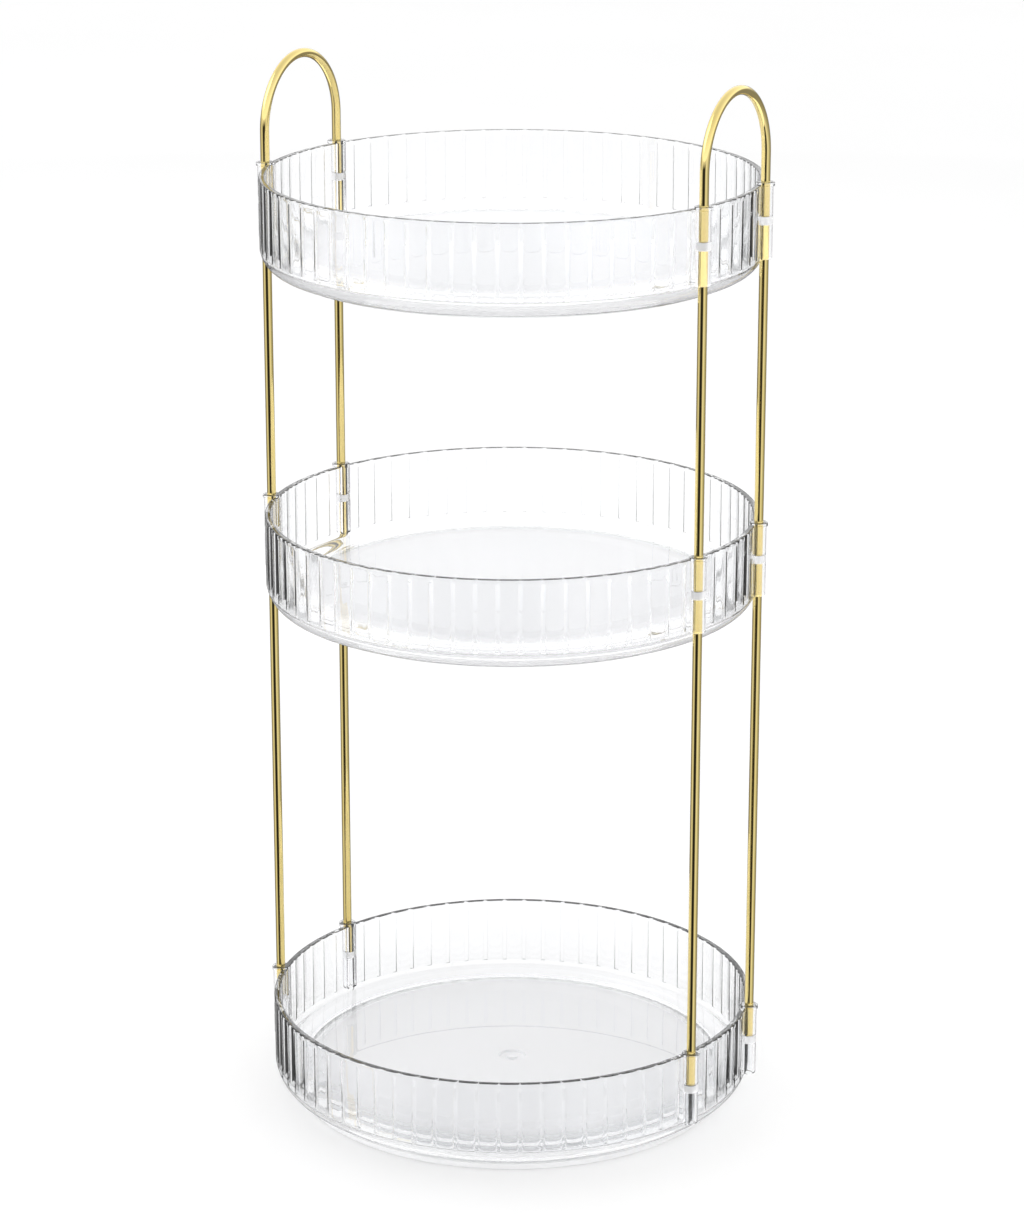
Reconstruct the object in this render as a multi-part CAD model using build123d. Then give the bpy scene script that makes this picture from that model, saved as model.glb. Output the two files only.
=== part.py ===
from build123d import *
import math
import os

# Rotating makeup organizer: three clear ribbed trays on gold tube posts, two gold hoop handles,
# and a clear turntable base. The table is z = 0, the turning axis is Z, and the handles stand
# on the X axis, one at each end. Sizes are in millimetres.

os.makedirs("parts", exist_ok=True)

INCH = 25.4

# Overall sizes, all printed beside the object in the photograph
tray_diameter = 9.0 * INCH
bottom_rim_height = 1.9 * INCH
lower_pitch = 9.4 * INCH
upper_pitch = 6.2 * INCH
handle_rise = 1.9 * INCH

# Tray moulding
wall = 2.7
floor_thickness = 2.4
lip_height = 2.3
rib_count = 72
groove_width = 2.4
groove_depth = 0.5
plain_band = 9.0
corner_inset = 9.0
corner_steps = 3
corner_bulge = 2.2
foot_ring_width = 2.6
foot_ring_height = 1.3
foot_ring_slope = 2.4
track_plate_radius = 84.0
track_plate_height = 1.2

# Posts, handles and the sleeves that hold them
tube_diameter = 4.2
tube_wall = 0.5
tube_fit = 0.1
handle_span = 64.0
handle_bend_steps = 16
post_outset = 1.1
sleeve_wall = 1.4
collar_wall = 0.6
collar_height = 1.8
collar_stand = 0.8
upper_socket_depth = 15.5
socket_web = 3.5
lower_socket_depth = 16.0

# Turntable base and its ball bearing
pad_stand = 0.8
pad_recess = 0.4
pad_diameter = 10.0
pad_fit = 0.1
pad_count = 4
pad_edge_distance = 9.0
base_thickness = 2.6
base_overhang = 0.6
skirt_gap = 1.5
base_edge_chamfer = 0.9
ball_diameter = 5.0
ball_count = 6
ball_clearance = 0.3
track_radius = 76.0
track_ring_width = 8.0
track_ring_height = 1.6
track_groove_depth = 1.2
track_groove_width = 5.0
cage_width = 11.0
cage_thickness = 1.6
cage_ball_clearance = 0.25

# Pivot pin in the centre
pin_diameter = 6.0
pin_neck_diameter = 5.0
pin_head_diameter = 16.0
pin_head_thickness = 1.1
pin_head_chamfer = 0.4
pin_fit = 0.1
pin_grip_depth = 3.5
boss_diameter = 13.0
hub_diameter = 18.0
hub_height = 1.8
running_gap = 0.3

# Heights that follow from the sizes above
base_bottom = pad_stand
base_top = base_bottom + base_thickness
track_ring_top = base_top + track_ring_height
groove_angle = math.atan2(track_groove_depth, track_groove_width / 2)
groove_seat = (ball_diameter / 2 + ball_clearance) / math.cos(groove_angle)
ball_centre = track_ring_top - track_groove_depth + groove_seat
plate_underside = ball_centre + ball_diameter / 2 + ball_clearance
floor_underside = plate_underside + track_plate_height
floor_top = floor_underside + floor_thickness
hub_top = base_top + hub_height
rim_heights = {
    "bottom_tray": bottom_rim_height,
    "middle_tray": bottom_rim_height + lower_pitch,
    "top_tray": bottom_rim_height + lower_pitch + upper_pitch,
}

# Tray levels, counted down from the rim
inside_depth = bottom_rim_height - floor_top
foot_depth = bottom_rim_height - base_top - skirt_gap
rib_bottom = foot_depth - foot_ring_height - plain_band

# Radii and places that follow
rim_radius = tray_diameter / 2
inner_radius = rim_radius - wall
corner_radius = rim_radius - corner_inset
foot_outer_radius = corner_radius - foot_ring_slope
foot_inner_radius = foot_outer_radius - foot_ring_width
base_radius = foot_outer_radius + base_overhang
post_circle = rim_radius + post_outset
post_y = handle_span / 2
post_x = math.sqrt(post_circle**2 - post_y**2)
post_angle = math.degrees(math.atan2(post_y, post_x))
socket_radius = tube_diameter / 2 + tube_fit
sleeve_radius = socket_radius + sleeve_wall
collar_radius = sleeve_radius + collar_wall
sleeve_length = upper_socket_depth + socket_web + lower_socket_depth
web_top = collar_stand - upper_socket_depth
web_bottom = web_top - socket_web


def post_places():
    """The four post axes, counted anticlockwise from the front of the right handle."""
    return [(post_x, -post_y), (post_x, post_y), (-post_x, post_y), (-post_x, -post_y)]


def spin(points):
    """A ring or disc turned about Z from an outline of (radius, height) points."""
    outline = Polyline([(radius, 0, height) for radius, height in points], close=True)
    return revolve(make_face(outline), Axis.Z)


def corner_points():
    """The lower corner's outline, which bulges past its chord like an arc in a few steps."""
    chord = math.hypot(corner_inset, plain_band)
    points = []
    for i in range(corner_steps + 1):
        share = i / corner_steps
        bulge = corner_bulge * 4 * share * (1 - share)
        radius = rim_radius - corner_inset * share + bulge * plain_band / chord
        height = -rib_bottom - plain_band * share - bulge * corner_inset / chord
        points.append((radius, height))
    return points


def tray_shell():
    """The round dish: wall, floor, rounded lower corner, foot ring and the flat plate below."""
    floor = -inside_depth
    underside = floor - floor_thickness
    plate = underside - track_plate_height
    return spin(
        [
            (0, floor),
            (inner_radius, floor),
            (inner_radius, 0),
            (rim_radius, 0),
            *corner_points(),
            (foot_outer_radius, -foot_depth),
            (foot_inner_radius, -foot_depth),
            (foot_inner_radius, underside),
            (track_plate_radius, underside),
            (track_plate_radius, plate),
            (0, plate),
        ]
    )


def groove():
    """The wedge that cuts one groove: it reaches as far past the wall as into it, on the X axis."""
    outline = Polyline(
        (rim_radius - groove_depth, 0),
        (rim_radius + groove_depth, -groove_width),
        (rim_radius + groove_depth, groove_width),
        close=True,
    )
    return Pos(0, 0, -rib_bottom) * extrude(make_face(outline), rib_bottom - lip_height)


def rib_grooves():
    """Every groove round the wall, apart from those that a post's sleeve covers."""
    pitch = 360 / rib_count
    sleeve_half = math.degrees((sleeve_radius + groove_width / 2) / post_circle)
    wedge = groove()
    grooves = []
    for i in range(rib_count):
        angle = i * pitch
        from_axis = min(angle % 180, 180 - angle % 180)
        if abs(from_axis - post_angle) > sleeve_half:
            grooves.append(Rot(0, 0, angle) * wedge)
    return grooves


def upright(radius, bottom, top, place=(0, 0)):
    """A round bar from height bottom to height top."""
    bar = Cylinder(radius, top - bottom, align=(Align.CENTER, Align.CENTER, Align.MIN))
    return Pos(place[0], place[1], bottom) * bar


def make_tray():
    """One tray with its rim at z = 0: the dish, its grooves and the four post sleeves."""
    tray = tray_shell() - rib_grooves()
    bottom = collar_stand - sleeve_length
    for place in post_places():
        tray += upright(sleeve_radius, bottom, collar_stand, place)
        tray += upright(collar_radius, collar_stand - collar_height, collar_stand, place)
    for place in post_places():
        tray -= upright(socket_radius, web_top, collar_stand, place)
        tray -= upright(socket_radius, -foot_depth, web_bottom, place)
    return tray


def add_pivot_boss(tray):
    """The blind boss below the bottom tray's floor, which grips the pivot pin."""
    boss_bottom = hub_top + running_gap
    boss = upright(boss_diameter / 2, boss_bottom, plate_underside)
    hole = upright(pin_neck_diameter / 2 + pin_fit / 2, boss_bottom, boss_bottom + pin_grip_depth)
    return tray + boss - hole


def make_post(bottom_rim, top_rim, place):
    """A straight gold tube that stands on one tray's socket web and carries the next tray."""
    bottom = bottom_rim + web_top
    top = top_rim + web_bottom
    radius = tube_diameter / 2
    return upright(radius, bottom, top, place) - upright(radius - tube_wall, bottom, top, place)


def make_handle():
    """The right handle: a gold rod bent into a hoop, with both legs in the top tray's sleeves."""
    rim = rim_heights["top_tray"]
    foot = rim + web_top
    spring = rim + handle_rise - tube_diameter / 2 - post_y
    section = Circle(tube_diameter / 2)
    sections = [Pos(post_x, -post_y, foot) * section]
    for i in range(handle_bend_steps + 1):
        angle = math.pi * i / handle_bend_steps
        along, up = math.cos(angle), math.sin(angle)
        centre = (post_x, -post_y * along, spring + post_y * up)
        sections.append(Plane(centre, x_dir=(1, 0, 0), z_dir=(0, up, along)) * section)
    last_foot = Plane((post_x, post_y, foot), x_dir=(1, 0, 0), z_dir=(0, 0, -1))
    sections.append(last_foot * section)
    return loft(sections, ruled=True)


def make_base():
    """The clear disc on the table, with the ball track, the hub and the recesses below."""
    half_ring = track_ring_width / 2
    half_groove = track_groove_width / 2
    points = [
        (0, base_bottom),
        (base_radius, base_bottom),
        (base_radius, base_top),
        (track_radius + half_ring, base_top),
        (track_radius + half_ring, track_ring_top),
        (track_radius + half_groove, track_ring_top),
        (track_radius, track_ring_top - track_groove_depth),
        (track_radius - half_groove, track_ring_top),
        (track_radius - half_ring, track_ring_top),
        (track_radius - half_ring, base_top),
        (hub_diameter / 2, base_top),
        (hub_diameter / 2, hub_top),
        (0, hub_top),
    ]
    base = spin(points)
    base = chamfer(base.edges().group_by(Axis.Z)[0], base_edge_chamfer)
    head_room = pin_head_thickness + 2 * running_gap
    base -= upright(pin_diameter / 2 + pin_fit, base_bottom, hub_top)
    base -= upright(pin_head_diameter / 2 + running_gap, base_bottom, base_bottom + head_room)
    for place in pad_places():
        base -= upright(pad_diameter / 2, base_bottom, base_bottom + pad_recess, place)
    return base


def pad_places():
    """The pads' centres, evenly round the base and midway between the X and Y axes."""
    radius = base_radius - pad_edge_distance
    angles = [math.radians(360 * (i + 0.5) / pad_count) for i in range(pad_count)]
    return [(radius * math.cos(a), radius * math.sin(a)) for a in angles]


def make_pin():
    """The shouldered pin that holds the bottom tray to the base and lets it turn."""
    head_bottom = base_bottom + running_gap
    head_top = head_bottom + pin_head_thickness
    shoulder = hub_top + running_gap
    tip = shoulder + pin_grip_depth - running_gap
    head = upright(pin_head_diameter / 2, head_bottom, head_top)
    head = chamfer(head.edges().group_by(Axis.Z)[0], pin_head_chamfer)
    shaft = upright(pin_diameter / 2, head_top, shoulder)
    return head + shaft + upright(pin_neck_diameter / 2, shoulder, tip)


def ball_places():
    """The ball centres, evenly round the track."""
    angles = [2 * math.pi * i / ball_count for i in range(ball_count)]
    return [(track_radius * math.cos(a), track_radius * math.sin(a)) for a in angles]


def make_cage():
    """The flat ring that keeps the balls apart."""
    bottom = ball_centre - cage_thickness / 2
    top = ball_centre + cage_thickness / 2
    cage = upright(track_radius + cage_width / 2, bottom, top)
    cage -= upright(track_radius - cage_width / 2, bottom, top)
    for place in ball_places():
        cage -= upright(ball_diameter / 2 + cage_ball_clearance, bottom, top, place)
    return cage


def make_balls():
    """The loose clear balls, as separate solids in one group."""
    return Compound([Pos(x, y, ball_centre) * Sphere(ball_diameter / 2) for x, y in ball_places()])


def build():
    """Every piece of the organizer by name, each where it stands."""
    parts = {"turntable_base": make_base(), "pivot_pin": make_pin()}
    parts["ball_cage"] = make_cage()
    parts["bearing_balls"] = make_balls()
    for i, place in enumerate(pad_places(), 1):
        pad = upright(pad_diameter / 2 - pad_fit, 0, base_bottom + pad_recess, place)
        parts[f"foot_pad_{i}"] = pad
    tray = make_tray()
    for name, rim in rim_heights.items():
        parts[name] = Pos(0, 0, rim) * tray
    parts["bottom_tray"] = add_pivot_boss(parts["bottom_tray"])
    levels = list(rim_heights.values())
    for tier, low, high in (("lower", levels[0], levels[1]), ("upper", levels[1], levels[2])):
        for i, place in enumerate(post_places(), 1):
            parts[f"{tier}_post_{i}"] = make_post(low, high, place)
    parts["right_handle"] = make_handle()
    parts["left_handle"] = Rot(0, 0, 180) * parts["right_handle"]
    return parts


for name, shape in build().items():
    export_step(shape, f"parts/{name}.step")
    print(name, len(shape.solids()), "solids", round(shape.volume), "mm3")
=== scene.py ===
import math

import bpy
import numpy as np
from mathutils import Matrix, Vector


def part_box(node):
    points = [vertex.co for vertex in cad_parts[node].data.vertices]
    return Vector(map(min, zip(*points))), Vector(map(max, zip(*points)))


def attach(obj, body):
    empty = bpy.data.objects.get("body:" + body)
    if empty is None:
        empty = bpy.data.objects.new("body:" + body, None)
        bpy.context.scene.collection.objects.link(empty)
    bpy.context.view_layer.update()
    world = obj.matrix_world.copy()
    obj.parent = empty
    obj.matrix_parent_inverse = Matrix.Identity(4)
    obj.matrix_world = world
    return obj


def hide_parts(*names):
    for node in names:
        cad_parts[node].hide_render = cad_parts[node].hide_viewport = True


# Rotating makeup organizer: three clear ribbed trays on gold posts, with two gold hoop handles on
# top and a clear turntable base below. It is put together from the table upwards.

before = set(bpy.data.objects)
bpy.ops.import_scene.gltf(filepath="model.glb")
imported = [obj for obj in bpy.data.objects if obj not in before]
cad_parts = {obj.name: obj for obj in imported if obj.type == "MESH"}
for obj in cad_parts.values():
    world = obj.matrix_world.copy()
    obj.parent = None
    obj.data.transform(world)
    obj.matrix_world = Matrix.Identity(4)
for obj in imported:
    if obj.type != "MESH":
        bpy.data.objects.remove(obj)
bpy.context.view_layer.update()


# ---- Turntable base ----
# A round disc of clear polystyrene with a satin edge, injection moulded in one piece. It stands
# still on the table. Its raised ring has the track for the balls and its hub the hole for the
# pivot pin.

MM = 0.001  # all sizes here are in millimetres


def node_box(node):
    """Lowest and highest corner of a CAD node, in millimetres."""
    low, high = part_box(node)
    return np.array(low) / MM, np.array(high) / MM


base_low, base_high = node_box("turntable_base")
base_bottom = base_low[2]
base_radius = base_high[0]
base_thickness = 2.6
base_top = base_bottom + base_thickness
track_radius = 76.0
track_depth = 1.2
track_half_width = 2.5
ring_half_width = 4.0
ring_height = 1.6
ring_top = base_top + ring_height
hub_radius = 9.0
hub_height = 1.8
hub_top = base_top + hub_height
pin_hole_radius = 3.1
head_recess_radius = 8.3
head_recess_depth = 1.7
head_recess_top = base_bottom + head_recess_depth
pad_recess_radius = 5.0
pad_recess_depth = 0.4
soft_edge = 0.3
fine_edge = 0.2
base_round = 0.5
base_bevel = 0.9
satin_edge = base_radius - 1.6  # from here outwards the disc is satin
satin_fade = 0.3
overshoot = 1.0  # how far a cutting tool reaches past what it cuts
snap = 0.01  # points this near to a height or a radius lie on it


def rounded(outline, steps=4):
    """A profile with soft corners. Each point p is given as (radius, height, corner size), and its
    corner becomes (1-u)^2 a + 2u(1-u) p + u^2 b for u from 0 to 1, where a and b lie the corner's
    size away from p, towards the points before and after it. A size of 0 keeps a corner sharp."""
    p = np.array([point[:2] for point in outline], float)
    size = np.array([point[2] for point in outline], float)
    before, after = np.roll(p, 1, axis=0) - p, np.roll(p, -1, axis=0) - p
    a = p + before * (size / np.linalg.norm(before, axis=1))[:, None]
    b = p + after * (size / np.linalg.norm(after, axis=1))[:, None]
    u = np.linspace(0, 1, steps + 1)[:, None, None]
    corners = (1 - u) ** 2 * a + 2 * u * (1 - u) * p + u**2 * b
    kept = (size > 0)[:, None] | (np.arange(steps + 1) == 0)
    return corners.transpose(1, 0, 2)[kept]


def grid_mesh(name, grid, loop=False):
    """A closed mesh from a grid of points in millimetres, where each point is joined to the next
    in its row and in its column. Rows close on themselves. Columns do too in a loop, and
    otherwise the first and the last row are each a single point, a pole."""
    rows, columns = grid.shape[:2]
    if loop:
        points = grid.reshape(-1, 3)
        near = np.arange(rows * columns).reshape(rows, columns)
        far = np.roll(near, -1, axis=0)
    else:
        points = np.concatenate([grid[:1, 0], grid[1:-1].reshape(-1, 3), grid[-1:, 0]])
        index = 1 + np.arange((rows - 2) * columns).reshape(rows - 2, columns)
        near, far = index[:-1], index[1:]
    corners = [near, far, np.roll(far, -1, axis=1), np.roll(near, -1, axis=1)]
    faces = np.stack(corners, axis=-1).reshape(-1, 4).tolist()
    if not loop:
        first, last = index[0], index[-1]
        pole = np.full(columns, len(points) - 1)
        faces += np.stack([0 * first, first, np.roll(first, -1)], axis=-1).tolist()
        faces += np.stack([last, pole, np.roll(last, -1)], axis=-1).tolist()
    mesh = bpy.data.meshes.new(name)
    mesh.from_pydata((points * MM).tolist(), [], faces)
    mesh.update()
    made = bpy.data.objects.new(name, mesh)
    bpy.context.scene.collection.objects.link(made)
    return made


def turned(name, profile, columns, centre=(0, 0), loop=False):
    """A profile turned about an upright axis: the point (radius r, height h) at angle a lies at
    centre + (r cos a, r sin a) and height h. The profile runs out over the top, down the outside
    and back in below, so that the faces point outwards."""
    angles = np.arange(columns) * 2 * math.pi / columns
    radius, height = profile[:, :1], profile[:, 1:] + 0 * angles
    x = centre[0] + radius * np.cos(angles)
    y = centre[1] + radius * np.sin(angles)
    return grid_mesh(name, np.stack([x, y, height], axis=-1), loop)


def rod(name, radius, bottom, top, centre=(0, 0), edge=0.0, columns=48):
    """A solid round bar: a rectangular profile with that edge softening, turned."""
    profile = [(0, top, 0), (radius, top, edge), (radius, bottom, edge), (0, bottom, 0)]
    return turned(name, rounded(profile), columns, centre)


def joined(objects):
    """One object with the meshes of all of these."""
    with bpy.context.temp_override(active_object=objects[0], selected_editable_objects=objects):
        bpy.ops.object.join()
    return objects[0]


def combine(target, tool, operation):
    """Joins the tool to the target (UNION) or cuts it out (DIFFERENCE), and uses the tool up."""
    modifier = target.modifiers.new(operation, "BOOLEAN")
    modifier.operation = operation
    modifier.solver = "MANIFOLD"
    modifier.object = tool
    state = bpy.context.evaluated_depsgraph_get()
    mesh = bpy.data.meshes.new_from_object(target.evaluated_get(state))
    target.modifiers.clear()
    target.data = mesh
    bpy.data.objects.remove(tool)
    return target


def points_of(piece):
    """The x, the y and the height of every point of a piece's mesh, in millimetres."""
    points = np.empty(len(piece.data.vertices) * 3, np.float32)
    piece.data.vertices.foreach_get("co", points)
    return points.reshape(-1, 3).T / MM


def store(mesh, name, values):
    """Keeps one value for each point of the mesh as a named attribute, for a material to read."""
    attribute = mesh.attributes.new(name, "FLOAT", "POINT")
    attribute.data.foreach_set("value", np.asarray(values, np.float32))


def linear(colour):
    """An sRGB hex colour as the linear colour that Blender's sockets take."""
    parts = [int(colour[i : i + 2], 16) / 255 for i in (1, 3, 5)]
    return [p / 12.92 if p <= 0.04045 else ((p + 0.055) / 1.055) ** 2.4 for p in parts] + [1.0]


def new_material(name):
    """An empty material with its node tree."""
    material = bpy.data.materials.new(name)
    material.use_nodes = True
    material.node_tree.nodes.clear()
    return material, material.node_tree


def add(tree, kind, inputs, **settings):
    """Adds a node with its settings and gives its outputs. An input that is another node's output
    is linked, and any other is set on its socket."""
    made = tree.nodes.new(kind)
    for name, value in settings.items():
        setattr(made, name, value)
    for socket, value in inputs.items():
        if isinstance(value, bpy.types.NodeSocket):
            tree.links.new(value, made.inputs[socket])
        else:
            made.inputs[socket].default_value = value
    return made.outputs


# General-purpose polystyrene, injection moulded in a polished steel mould: it is as clear as
# glass and bends light strongly, so that its edges draw thin dark lines. Its faces show a very
# slight unevenness from shrinking, 30 mm wide. Where the mesh's satin attribute is 1 the mould is
# spark-eroded, and the plastic scatters light and looks soft grey. That grain is 0.05 mm wide and
# is drawn 0.8 mm wide, because it needs that to show.

CLEAR = "#FEFEFF"
CLEAR_THICK = "#FCFDFE"
SATIN = "#FCFCFD"

polystyrene, tree = new_material("moulded_clear_polystyrene")
place = add(tree, "ShaderNodeTexCoord", {})["Object"]
satin = add(tree, "ShaderNodeAttribute", {}, attribute_name="satin")["Fac"]
cloud = add(tree, "ShaderNodeTexNoise", {"Vector": place, "Scale": 1 / (60 * MM)})["Fac"]
polish = add(tree, "ShaderNodeTexNoise", {"Vector": place, "Scale": 1 / (25 * MM)})["Fac"]
shrink = add(tree, "ShaderNodeTexNoise", {"Vector": place, "Scale": 1 / (30 * MM)})["Fac"]
grain = add(
    tree,
    "ShaderNodeTexNoise",
    {"Vector": place, "Scale": 1 / (0.8 * MM), "Detail": 4.0},
)["Fac"]
tint = add(
    tree,
    "ShaderNodeMix",
    {"Factor": cloud, "A": linear(CLEAR), "B": linear(CLEAR_THICK)},
    data_type="RGBA",
)["Result"]
colour = add(
    tree,
    "ShaderNodeMix",
    {"Factor": satin, "A": tint, "B": linear(SATIN)},
    data_type="RGBA",
)["Result"]
clear_roughness = add(
    tree,
    "ShaderNodeMapRange",
    {"Value": polish, "To Min": 0.0, "To Max": 0.03},
)["Result"]
satin_roughness = add(
    tree,
    "ShaderNodeMapRange",
    {"Value": grain, "To Min": 0.4, "To Max": 0.5},
)["Result"]
roughness = add(
    tree,
    "ShaderNodeMix",
    {"Factor": satin, "A": clear_roughness, "B": satin_roughness},
)["Result"]
clearness = add(
    tree,
    "ShaderNodeMapRange",
    {"Value": satin, "To Min": 1.0, "To Max": 0.15},
)["Result"]
unevenness = add(
    tree,
    "ShaderNodeBump",
    {"Height": shrink, "Distance": 0.02 * MM, "Strength": 1.0},
)["Normal"]
shader = add(
    tree,
    "ShaderNodeBsdfPrincipled",
    {
        "Base Color": colour,
        "Roughness": roughness,
        "IOR": 1.58,
        "Transmission Weight": clearness,
        "Normal": unevenness,
    },
)["BSDF"]
add(tree, "ShaderNodeOutputMaterial", {"Surface": shader})


def finish_piece(piece, body, slot, material, nodes, crease=35):
    """Shades the piece smooth up to the crease angle in degrees, dresses it, and lets it stand for
    its CAD nodes on their body. Only the gold casts a shadow."""
    piece.data.shade_smooth()
    piece.data.set_sharp_from_angle(angle=math.radians(crease))
    piece.data.materials.clear()
    piece.data.materials.append(material)
    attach(piece, body)
    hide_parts(*nodes)
    piece.visible_shadow = slot == "gold_tube"


base_profile = rounded(
    [
        (pin_hole_radius, hub_top, fine_edge),
        (hub_radius, hub_top, soft_edge),
        (hub_radius, base_top, soft_edge),
        (track_radius - ring_half_width, base_top, soft_edge),
        (track_radius - ring_half_width, ring_top, soft_edge),
        (track_radius - track_half_width, ring_top, 0),
        (track_radius, ring_top - track_depth, soft_edge),
        (track_radius + track_half_width, ring_top, 0),
        (track_radius + ring_half_width, ring_top, soft_edge),
        (track_radius + ring_half_width, base_top, soft_edge),
        (satin_edge - satin_fade, base_top, 0),
        (satin_edge, base_top, 0),
        (base_radius, base_top, base_round),
        (base_radius, base_bottom, base_bevel),
        (satin_edge, base_bottom, 0),
        (satin_edge - satin_fade, base_bottom, 0),
        (head_recess_radius, base_bottom, fine_edge),
        (head_recess_radius, head_recess_top, 0),
        (pin_hole_radius, head_recess_top, 0),
    ]
)
base = turned("turntable_base_disc", base_profile, columns=384, loop=True)
pad_boxes = [node_box(f"foot_pad_{i}") for i in (1, 2, 3, 4)]
pad_places = [((low + high) / 2)[:2] for low, high in pad_boxes]
recess_bottom = base_bottom - overshoot
recess_top = base_bottom + pad_recess_depth
recesses = [rod("recess", pad_recess_radius, recess_bottom, recess_top, p) for p in pad_places]
combine(base, joined(recesses), "DIFFERENCE")
x, y = points_of(base)[:2]
store(base.data, "satin", np.hypot(x, y) > satin_edge - snap)
finish_piece(base, "base", "clear_plastic", polystyrene, ["turntable_base"])


# ---- Foot pads ----
# Four round pads of clear silicone that keep the base from sliding. Each is moulded and glued into
# a shallow recess under the disc.

# Silicone rubber from a matt mould: milky and half clear, with a soft skin without sharp
# highlights. Its skin's texture is 0.1 mm wide and is drawn 0.8 mm wide, to show at all.

SILICONE = "#EEF0F1"
SILICONE_THICK = "#E3E6E8"

silicone, tree = new_material("moulded_clear_silicone")
place = add(tree, "ShaderNodeTexCoord", {})["Object"]
cloud = add(tree, "ShaderNodeTexNoise", {"Vector": place, "Scale": 1 / (4 * MM)})["Fac"]
patches = add(tree, "ShaderNodeTexNoise", {"Vector": place, "Scale": 1 / (1.5 * MM)})["Fac"]
skin = add(tree, "ShaderNodeTexNoise", {"Vector": place, "Scale": 1 / (0.8 * MM)})["Fac"]
colour = add(
    tree,
    "ShaderNodeMix",
    {"Factor": cloud, "A": linear(SILICONE), "B": linear(SILICONE_THICK)},
    data_type="RGBA",
)["Result"]
roughness = add(
    tree,
    "ShaderNodeMapRange",
    {"Value": patches, "To Min": 0.45, "To Max": 0.6},
)["Result"]
unevenness = add(
    tree,
    "ShaderNodeBump",
    {"Height": skin, "Distance": 0.01 * MM, "Strength": 1.0},
)["Normal"]
shader = add(
    tree,
    "ShaderNodeBsdfPrincipled",
    {
        "Base Color": colour,
        "Roughness": roughness,
        "IOR": 1.42,
        "Transmission Weight": 0.6,
        "Normal": unevenness,
    },
)["BSDF"]
add(tree, "ShaderNodeOutputMaterial", {"Surface": shader})

for i, (low, high) in enumerate(pad_boxes, 1):
    pad_radius = (high[0] - low[0]) / 2
    centre = pad_places[i - 1]
    pad = rod(f"foot_pad_{i}_silicone", pad_radius, low[2], high[2], centre, soft_edge, columns=64)
    finish_piece(pad, "base", "clear_rubber", silicone, [f"foot_pad_{i}"])


# ---- Ball race ----
# Six clear plastic balls that run in the base's track, and the flat clear ring that keeps them
# apart. The ring is moulded with a hole for each ball and lies loose round the hub.

cage_low, cage_high = node_box("ball_cage")
cage_half_width = 5.5
cage_hole_radius = 2.75
ball_count = 6
cage_profile = rounded(
    [
        (track_radius - cage_half_width, cage_high[2], fine_edge),
        (track_radius + cage_half_width, cage_high[2], fine_edge),
        (track_radius + cage_half_width, cage_low[2], fine_edge),
        (track_radius - cage_half_width, cage_low[2], fine_edge),
    ]
)
cage = turned("ball_cage_ring", cage_profile, columns=192, loop=True)
ball_angles = np.arange(ball_count) * 2 * math.pi / ball_count
ball_places = track_radius * np.stack([np.cos(ball_angles), np.sin(ball_angles)], axis=1)
hole_bottom = cage_low[2] - overshoot
hole_top = cage_high[2] + overshoot
holes = [rod("hole", cage_hole_radius, hole_bottom, hole_top, p) for p in ball_places]
combine(cage, joined(holes), "DIFFERENCE")
finish_piece(cage, "bearing", "clear_plastic", polystyrene, ["ball_cage"])

# A ball's profile is (R sin t, R cos t) for t from 0 to pi.
ball_rows = 25
ball_low, ball_high = node_box("bearing_balls")
ball_radius = (ball_high[2] - ball_low[2]) / 2
tilt = np.linspace(0, math.pi, ball_rows)
ball_profile = ball_radius * np.stack([np.sin(tilt), np.cos(tilt)], axis=1)
ball_profile += [0, ball_low[2] + ball_radius]
balls = [turned(f"ball_{i}", ball_profile, 48, place) for i, place in enumerate(ball_places)]
balls = joined(balls)
balls.name = "bearing_balls_clear"
finish_piece(balls, "bearing", "clear_plastic", polystyrene, ["bearing_balls"], crease=60)


# ---- Pivot pin ----
# A clear plastic pin with a flat head under the base, a shoulder that turns in the hub's hole and
# a thinner end that is pressed into the boss of the bottom tray.

pin_low, pin_high = node_box("pivot_pin")
pin_shoulder_radius = 3.0
pin_end_radius = 2.5
pin_head_thickness = 1.1
pin_head_top = pin_low[2] + pin_head_thickness
pin_shoulder_top = 5.5
pin_edge = 0.15
pin_bevel = 0.4
pin_profile = rounded(
    [
        (0, pin_high[2], 0),
        (pin_end_radius, pin_high[2], pin_bevel),
        (pin_end_radius, pin_shoulder_top, 0),
        (pin_shoulder_radius, pin_shoulder_top, pin_edge),
        (pin_shoulder_radius, pin_head_top, pin_edge),
        (pin_high[0], pin_head_top, fine_edge),
        (pin_high[0], pin_low[2], pin_bevel),
        (0, pin_low[2], 0),
    ]
)
pin = turned("pivot_pin_clear", pin_profile, columns=64)
finish_piece(pin, "tower", "clear_plastic", polystyrene, ["pivot_pin"])


# ---- Trays ----
# Three equal dishes of clear polystyrene, each injection moulded in one piece. 72 shallow grooves
# leave flat ribs on the wall between a plain lip and a rounded lower corner, and four sleeves for
# the posts are grown into the wall. The disc below the floor is satin.

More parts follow.
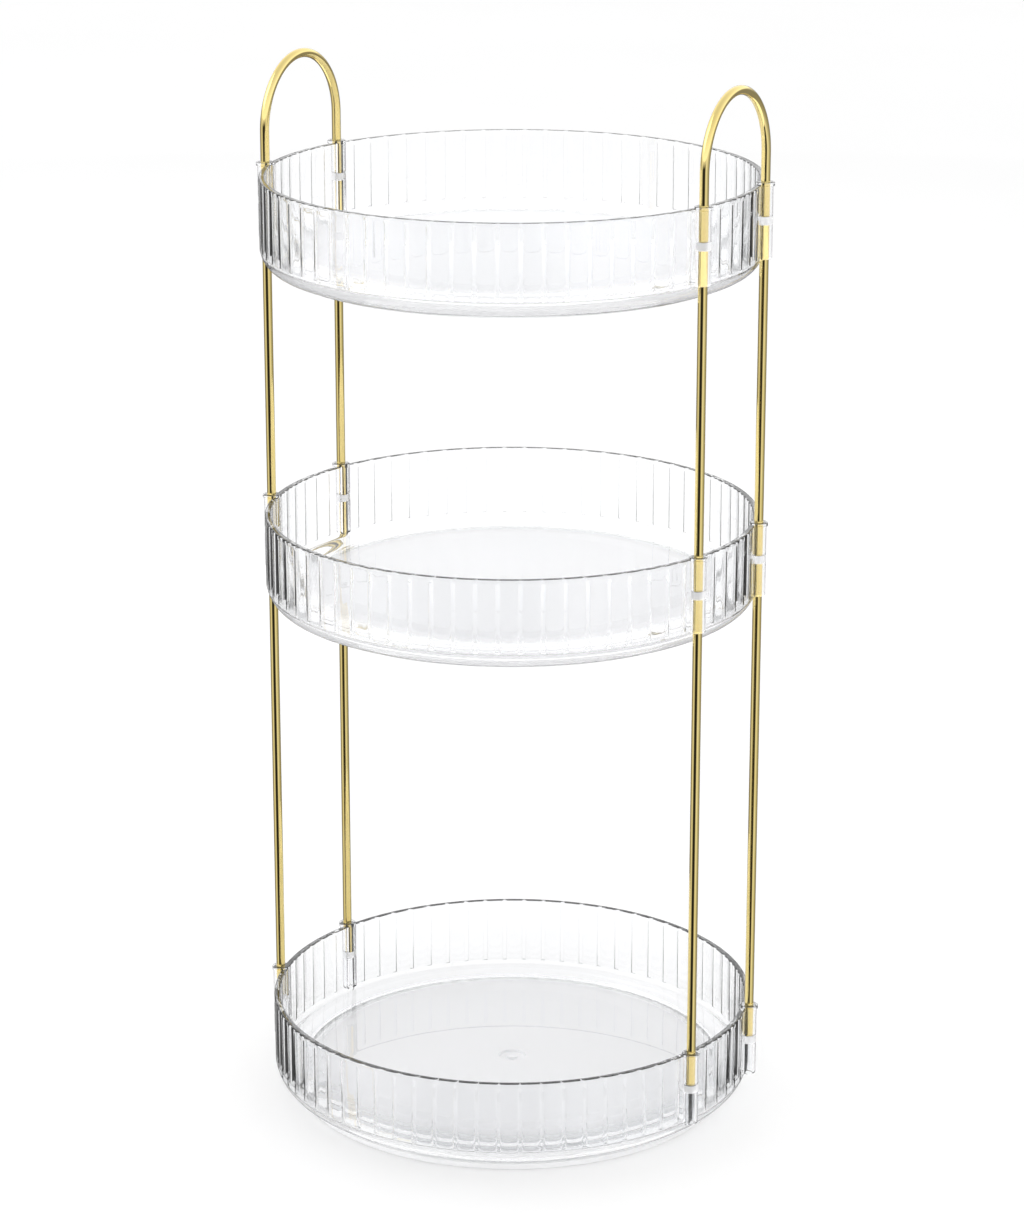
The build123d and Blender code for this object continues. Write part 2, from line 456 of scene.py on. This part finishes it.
# Heights inside a tray count from its rim.
collar_stand = 0.8
tray_names = ("bottom_tray", "middle_tray", "top_tray")
rim_heights = {name: node_box(name)[1][2] - collar_stand for name in tray_names}
rim_radius = node_box("bottom_tray")[1][1]
wall = 2.7
inner_radius = rim_radius - wall
floor_thickness = 2.4
floor_top = -34.95
floor_bottom = floor_top - floor_thickness
plate_height = 1.2
plate_bottom = floor_bottom - plate_height
plate_radius = 84.0
plate_slope = 8.0
plate_round = 1.5
lip_bottom = -2.3
rib_bottom = -33.06
corner_inset = 9.0
corner_drop = 9.0
corner_bulge = 2.2
corner_steps = 8
foot_bottom = -43.36
foot_slope = 2.4
foot_width = 2.6
foot_outer = rim_radius - corner_inset - foot_slope
foot_inner = foot_outer - foot_width
rim_round = 0.6
floor_round = 1.3
foot_round = 0.4

rib_count = 72
groove_width = 2.6
groove_bed = 1.5
groove_depth = 0.17
groove_end = 0.3
rib_crown = 0.11
inner_bulge = 0.08
side_columns = 5
rib_columns = [0.16, 0.2, 0.26, 0.34, 0.5]  # as shares of the ribs' pitch, from a groove's middle

# The satin covers the plate and fades out between these radii. The core pins also leave the web
# between a sleeve's sockets a little satin.
satin_radii = (90.0, 99.0)
web_satin = 0.7

# Sleeves and the posts' places
post_low, post_high = node_box("lower_post_1")
tube_radius = (post_high[0] - post_low[0]) / 2
post_x = (post_high[0] + post_low[0]) / 2
post_y = abs(post_high[1] + post_low[1]) / 2
post_places = np.array([(post_x, -post_y), (post_x, post_y), (-post_x, post_y), (-post_x, -post_y)])
post_angle = math.degrees(math.atan2(post_y, post_x))
sleeve_radius = 3.6
sleeve_length = 35.0
sleeve_bottom = collar_stand - sleeve_length
sleeve_round = 0.9
collar_radius = 4.2
collar_height = 1.8
collar_bottom = collar_stand - collar_height
collar_round = 0.35
tube_fit = 0.1
socket_radius = tube_radius + tube_fit
web_top = -14.7
web_bottom = -18.2
web_fade = 0.3


def from_groove(angles):
    """How far each column is from the middle of the nearest groove, along the wall."""
    pitch = 2 * math.pi / rib_count
    return np.abs(angles - np.round(angles / pitch) * pitch) * rim_radius


def is_covered(angles):
    """Whether a column's groove is one of the four that the sleeves cover."""
    pitch = 360 / rib_count
    nearest = np.round(np.degrees(angles) / pitch) * pitch % 180
    return np.abs(np.minimum(nearest, 180 - nearest) - post_angle) < pitch / 2


def corner_rows():
    """The lower corner: a straight run from (0, 0) to (-inset, -drop) at the share s, with a bulge
    of 4 s (1 - s) times its size, square to that run."""
    s = np.linspace(0, 1, corner_steps + 1)[1:]
    bulge = corner_bulge * 4 * s * (1 - s) / math.hypot(corner_inset, corner_drop)
    radius = rim_radius - corner_inset * s + bulge * corner_drop
    return np.stack([radius, rib_bottom - corner_drop * s - bulge * corner_inset], axis=1)


def wall_columns():
    """The angles of the columns: the same steps in every rib's pitch, close together at the sides
    of a groove and wide apart on the rib."""
    pitch = 2 * math.pi * rim_radius / rib_count
    sides = np.linspace(groove_bed / 2, groove_width / 2, side_columns) / pitch
    half = np.concatenate([[0], sides, rib_columns])
    across = np.concatenate([half, 1 - half[-2:0:-1]])
    return ((np.arange(rib_count)[:, None] + across) * 2 * math.pi / rib_count).reshape(-1)


def tray_grid():
    """A tray's points by row and column, out over the floor, up the inside, over the rim, down the
    outside and back in below. The profile's radius is changed column by column. With d the
    distance from the nearest groove, p the ribs' pitch and c = 1 - 2d/p, it is less by
    bulge (1 - c^4) inside, and outside by crown c^4 and by depth (3s^2 - 2s^3), where s is the
    share of the way from a groove's edge to its flat bed."""
    inside = rounded(
        [
            (plate_radius, floor_top, 0),
            (inner_radius, floor_top, floor_round),
            (inner_radius, 0, 0),
        ]
    )[:-1]
    rim = rounded(
        [
            (inner_radius, lip_bottom, 0),
            (inner_radius, 0, rim_round),
            (rim_radius, 0, rim_round),
            (rim_radius, lip_bottom, 0),
        ]
    )[1:]
    rib_heights = [lip_bottom, lip_bottom - groove_end, rib_bottom + groove_end, rib_bottom]
    ribs = np.stack([np.full(len(rib_heights), rim_radius), rib_heights], axis=1)
    satin_start, satin_end = satin_radii
    below = rounded(
        [
            (foot_outer, foot_bottom, foot_round),
            (foot_inner, foot_bottom, foot_round),
            (foot_inner, floor_bottom, foot_round),
            (satin_end, floor_bottom, 0),
            (satin_start, floor_bottom, 0),
            (plate_radius + plate_slope / 2, floor_bottom, plate_round),
            (plate_radius - plate_slope / 2, plate_bottom, plate_round),
            (0, plate_bottom, 0),
        ]
    )
    profile = np.concatenate([[(0, floor_top)], inside, rim, ribs, corner_rows(), below])

    # Which rows take the bulge, the crown and the grooves
    middle = 1 + len(inside) + len(rim) // 2
    first = 1 + len(inside) + len(rim)
    last = first + len(ribs)
    bulged, crowned, grooved = np.zeros((3, len(profile), 1))
    bulged[2:middle] = 1
    crowned[middle : last - 1] = 1
    grooved[first + 1 : last - 1] = 1

    angles = wall_columns()
    d = from_groove(angles)
    crest = (1 - d * rib_count / (math.pi * rim_radius)) ** 4
    side = np.clip((groove_width / 2 - d) / (groove_width / 2 - groove_bed / 2), 0, 1)
    groove = groove_depth * side * side * (3 - 2 * side)
    outside = np.where(is_covered(angles), 0, crowned * rib_crown * crest + grooved * groove)
    radius = profile[:, :1] - bulged * inner_bulge * (1 - crest) - outside
    height = profile[:, 1:] + 0 * angles
    return np.stack([radius * np.cos(angles), radius * np.sin(angles), height], axis=-1)


def sleeve(place):
    """One sleeve without its sockets: a bar along the wall with a collar at the rim."""
    profile = [
        (0, collar_stand, 0),
        (collar_radius, collar_stand, collar_round),
        (collar_radius, collar_bottom, collar_round),
        (sleeve_radius, collar_bottom, 0),
        (sleeve_radius, web_top + web_fade, 0),
        (sleeve_radius, web_top, 0),
        (sleeve_radius, web_bottom, 0),
        (sleeve_radius, web_bottom - web_fade, 0),
        (sleeve_radius, sleeve_bottom, sleeve_round),
        (0, sleeve_bottom, 0),
    ]
    return turned("sleeve", rounded(profile), 64, place)


def tray_moulding():
    """The moulding with its rim at height 0: the dish joined to its sleeves, with an upper and a
    lower socket cut into each sleeve."""
    tray = grid_mesh("tray", tray_grid())
    combine(tray, joined([sleeve(place) for place in post_places]), "UNION")
    above = collar_stand + overshoot
    below = foot_bottom - overshoot
    upper = [rod("socket", socket_radius, web_top, above, place) for place in post_places]
    lower = [rod("socket", socket_radius, below, web_bottom, place) for place in post_places]
    return combine(tray, joined(upper + lower), "DIFFERENCE")


def tray_at(moulding, name, rim):
    """A copy of the moulding as its own piece, moved up to that rim height in its mesh."""
    mesh = moulding.data.copy()
    mesh.name = name
    points = np.empty(len(mesh.vertices) * 3, np.float32)
    mesh.vertices.foreach_get("co", points)
    points[2::3] += rim * MM
    mesh.vertices.foreach_set("co", points)
    mesh.update()
    made = bpy.data.objects.new(name, mesh)
    bpy.context.scene.collection.objects.link(made)
    return made


def etch(tray, rim):
    """Sets the satin attribute: below the floor it falls from 1 to 0 between the satin radii, and
    on the sleeves it is web_satin between the sockets."""
    x, y, height = points_of(tray)
    height = height - rim
    faded = np.interp(np.hypot(x, y), satin_radii, [1, 0])
    plate = np.where(height < floor_bottom + snap, faded, 0)
    from_post = np.hypot(x - post_places[:, :1], y - post_places[:, 1:]).min(axis=0)
    web = (height < web_top + snap) & (height > web_bottom - snap)
    web &= np.abs(from_post - sleeve_radius) < 2 * snap
    store(tray.data, "satin", plate + web * web_satin)


moulding = tray_moulding()
trays = {name: tray_at(moulding, name + "_clear", rim) for name, rim in rim_heights.items()}
bpy.data.objects.remove(moulding)

# The bottom tray also has the blind boss that grips the pivot pin.
boss_radius = 6.5
boss_hole_radius = 2.55
boss_hole_depth = 3.5
boss_bottom = pin_shoulder_top
boss_top = rim_heights["bottom_tray"] + plate_bottom + overshoot
boss = rod("boss", boss_radius, boss_bottom, boss_top, edge=soft_edge, columns=64)
hole_top = boss_bottom + boss_hole_depth
boss_hole = rod("boss_hole", boss_hole_radius, boss_bottom - overshoot, hole_top)
combine(trays["bottom_tray"], boss, "UNION")
combine(trays["bottom_tray"], boss_hole, "DIFFERENCE")

for name, tray in trays.items():
    etch(tray, rim_heights[name])
    finish_piece(tray, "tower", "clear_plastic", polystyrene, [name], crease=30)


# ---- Posts ----
# Eight gold tubes, four under the middle tray and four under the top tray. They are cut from thin
# steel tube, plated, and pushed into the sleeves of the trays below and above.

tube_wall = 0.5
tube_inner_edge = 0.12
tube_outer_edge = 0.2

# Gold-coloured plating on polished steel tube: a warm mirror in which the room stands as long
# streaks, with faint waves from the polishing wheel, 6 to 18 mm long.

GOLD = "#F4E19D"
GOLD_DEEP = "#EBD386"

gold, tree = new_material("polished_gold_plating")
place = add(tree, "ShaderNodeTexCoord", {})["Object"]
cloud = add(tree, "ShaderNodeTexNoise", {"Vector": place, "Scale": 1 / (18 * MM)})["Fac"]
polish = add(
    tree,
    "ShaderNodeTexNoise",
    {"Vector": place, "Scale": 1 / (9 * MM), "Detail": 4.0},
)["Fac"]
waves = add(tree, "ShaderNodeTexNoise", {"Vector": place, "Scale": 1 / (6 * MM)})["Fac"]
colour = add(
    tree,
    "ShaderNodeMix",
    {"Factor": cloud, "A": linear(GOLD), "B": linear(GOLD_DEEP)},
    data_type="RGBA",
)["Result"]
roughness = add(
    tree,
    "ShaderNodeMapRange",
    {"Value": polish, "To Min": 0.05, "To Max": 0.11},
)["Result"]
unevenness = add(
    tree,
    "ShaderNodeBump",
    {"Height": waves, "Distance": 0.01 * MM, "Strength": 1.0},
)["Normal"]
shader = add(
    tree,
    "ShaderNodeBsdfPrincipled",
    {"Base Color": colour, "Metallic": 1.0, "Roughness": roughness, "Normal": unevenness},
)["BSDF"]
add(tree, "ShaderNodeOutputMaterial", {"Surface": shader})


def tube(name, bottom, top, place):
    """A straight tube: a rectangular profile off the axis, with slightly softened ends, turned."""
    profile = [
        (tube_radius - tube_wall, top, tube_inner_edge),
        (tube_radius, top, tube_outer_edge),
        (tube_radius, bottom, tube_outer_edge),
        (tube_radius - tube_wall, bottom, tube_inner_edge),
    ]
    return turned(name, rounded(profile, 3), 64, place, loop=True)


for tier in ("lower", "upper"):
    for i, place in enumerate(post_places, 1):
        node = f"{tier}_post_{i}"
        low, high = node_box(node)
        post = tube(node + "_tube", low[2], high[2], place)
        finish_piece(post, "tower", "gold_tube", gold, [node])


# ---- Handles ----
# Two gold hoops, bent from polished steel rod into half circles on short legs, and plated like the
# posts. Their feet are rounded and pushed into the upper sockets of the top tray.

foot_soft = 0.4
foot_rows = 6
bend_rows = 97
hoop_columns = 64


def hoop(name, side, foot, top):
    """A round rod along a path at x = side * post_x: up the first leg, round the half circle of
    radius post_y and down the second leg. At the path's direction t, its ring of points is
    centre + r (cos a X - sin a N), with N square to X and to the path. The radius r shrinks at
    the feet to round them."""
    spring = top - tube_radius - post_y
    bend = np.linspace(0, math.pi, bend_rows)
    quarter = np.linspace(0, math.pi / 2, foot_rows)
    leg = foot_rows + 1
    foot_heights = foot + foot_soft * (1 - np.cos(quarter))
    foot_radii = tube_radius - foot_soft * (1 - np.sin(quarter))
    y = post_y * np.concatenate([np.full(leg, -1.0), -np.cos(bend), np.full(leg, 1.0)])
    arch = spring + post_y * np.sin(bend)
    z = np.concatenate([[foot], foot_heights, arch, foot_heights[::-1], [foot]])
    bend_radii = np.full(bend_rows, tube_radius)
    radii = np.concatenate([[0], foot_radii, bend_radii, foot_radii[::-1], [0]])
    turn = np.concatenate([np.zeros(leg), bend, np.full(leg, math.pi)])[:, None]
    angles = np.arange(hoop_columns) * 2 * math.pi / hoop_columns
    sideways = radii[:, None] * np.cos(angles)
    inwards = -radii[:, None] * np.sin(angles)
    points = [
        side * post_x + sideways,
        y[:, None] + inwards * np.cos(turn),
        z[:, None] - inwards * np.sin(turn),
    ]
    return grid_mesh(name, np.stack(points, axis=-1))


handle_low, handle_high = node_box("right_handle")
for side, node in ((1, "right_handle"), (-1, "left_handle")):
    handle = hoop(node + "_hoop", side, handle_low[2], handle_high[2])
    finish_piece(handle, "tower", "gold_tube", gold, [node])


# ---- Floor ----
# A wide sheet of matt white paper on the studio's table, which is no part of the object. It is
# almost evenly white. The sizes of the floor, the light and the camera are in metres.

PAPER = "#F7F7F7"
PAPER_SHADE = "#F4F4F4"

paper, tree = new_material("matt_white_paper")
place = add(tree, "ShaderNodeTexCoord", {})["Object"]
cloud = add(tree, "ShaderNodeTexNoise", {"Vector": place, "Scale": 1 / (400 * MM)})["Fac"]
colour = add(
    tree,
    "ShaderNodeMix",
    {"Factor": cloud, "A": linear(PAPER), "B": linear(PAPER_SHADE)},
    data_type="RGBA",
)["Result"]
shader = add(tree, "ShaderNodeBsdfPrincipled", {"Base Color": colour, "Roughness": 0.9})["BSDF"]
add(tree, "ShaderNodeOutputMaterial", {"Surface": shader})

floor_half = 9.0
floor_mesh = bpy.data.meshes.new("floor")
floor_signs = ((-1, -1), (1, -1), (1, 1), (-1, 1))
floor_corners = [(x * floor_half, y * floor_half, 0) for x, y in floor_signs]
floor_mesh.from_pydata(floor_corners, [], [(0, 1, 2, 3)])
floor_mesh.materials.append(paper)
floor = bpy.data.objects.new("floor", floor_mesh)
bpy.context.scene.collection.objects.link(floor)
floor.visible_glossy = False


# ---- Studio light ----
# Even white light from all sides, one large soft lamp at the upper left, and a ring of grey for
# the polished tubes to mirror.

camera_azimuth = math.radians(28.1)

world = bpy.data.worlds.new("studio")
world.use_nodes = True
tree = world.node_tree
tree.nodes.clear()
direction = add(tree, "ShaderNodeTexCoord", {})["Generated"]
upwards = add(tree, "ShaderNodeSeparateXYZ", {"Vector": direction})["Z"]
light = add(tree, "ShaderNodeMapRange", {"Value": upwards, "To Min": 1.5, "To Max": 0.84})["Result"]
background = add(
    tree,
    "ShaderNodeBackground",
    {"Color": (1, 1, 1, 1), "Strength": light},
)["Background"]
add(tree, "ShaderNodeOutputWorld", {"Surface": background})
bpy.context.scene.world = world
bpy.context.scene.view_settings.view_transform = "Standard"

# Light that is seen through three clear trays passes many surfaces. Light that a groove's side
# traps in the wall ends after a few reflections, which draws the grooves as thin dark lines.
light_paths = bpy.context.scene.cycles
light_paths.max_bounces = light_paths.transmission_bounces = 32
light_paths.glossy_bounces = 5

# A ring of soft grey, 2.5 m away, that only reflections show. From the camera's side round to the
# right its shades change at the knots, in degrees: dark just left of the camera, bright to both
# sides of that, and grey at the back. It fades to white from the second to the third height.
ring_distance = 2.5
ring_heights = (-3.0, 0.45, 0.9)
ring_knots = [0, 8, 22, 36, 62, 90, 120, 180, 240, 268, 288, 306, 322, 360]
ring_shades = [0.02, 0.02, 0.65, 1.05, 0.7, 0.42, 0.3, 0.2, 0.3, 0.45, 1.0, 0.6, 0.02, 0.02]
ring_turns = np.linspace(0, 360, 121)
ring_around = camera_azimuth + np.radians(ring_turns)
n = len(ring_turns)
ring_x, ring_y = ring_distance * np.sin(ring_around), -ring_distance * np.cos(ring_around)
ring_points = [np.stack([ring_x, ring_y, np.full(n, z)], axis=1) for z in ring_heights]
near = np.concatenate([np.arange(n - 1), n + np.arange(n - 1)])
ring_faces = np.stack([near, near + 1, near + n + 1, near + n], axis=1)
ring_mesh = bpy.data.meshes.new("studio_ring")
ring_mesh.from_pydata(np.concatenate(ring_points).tolist(), [], ring_faces.tolist())
shade = np.interp(ring_turns, ring_knots, ring_shades)
store(ring_mesh, "glow", np.concatenate([shade, shade, np.ones(n)]))
grey_card, tree = new_material("grey_card")
strength = add(tree, "ShaderNodeAttribute", {}, attribute_name="glow")["Fac"]
shader = add(tree, "ShaderNodeEmission", {"Color": (1, 1, 1, 1), "Strength": strength})["Emission"]
add(tree, "ShaderNodeOutputMaterial", {"Surface": shader})
ring_mesh.materials.append(grey_card)
ring = bpy.data.objects.new("studio_ring", ring_mesh)
bpy.context.scene.collection.objects.link(ring)
ring.visible_camera = ring.visible_diffuse = False
ring.visible_transmission = ring.visible_shadow = False

lamp_place = (-1.5, -1.2, 2.2)
lamp_aim = (0, 0, 0.25)
lamp_data = bpy.data.lights.new("softbox", "AREA")
lamp_data.size = 2.0
lamp_data.energy = 15
lamp = bpy.data.objects.new("softbox", lamp_data)
lamp.location = lamp_place
lamp.rotation_euler = (Vector(lamp_aim) - Vector(lamp_place)).to_track_quat("-Z", "Y").to_euler()
bpy.context.scene.collection.objects.link(lamp)


# ---- Camera ----
# It looks at the middle of the organizer from the photograph's angle, through a long lens, so
# that the three tiers look almost equally wide.

camera_distance = 1.69
camera_height = 0.763
aim_height = 0.236
camera_data = bpy.data.cameras.new("camera")
camera_data.lens = 110.9
camera = bpy.data.objects.new("camera", camera_data)
camera.location = (
    camera_distance * math.sin(camera_azimuth),
    -camera_distance * math.cos(camera_azimuth),
    camera_height,
)
sight = Vector((0, 0, aim_height)) - camera.location
camera.rotation_euler = sight.to_track_quat("-Z", "Y").to_euler()
bpy.context.scene.collection.objects.link(camera)
bpy.context.scene.camera = camera
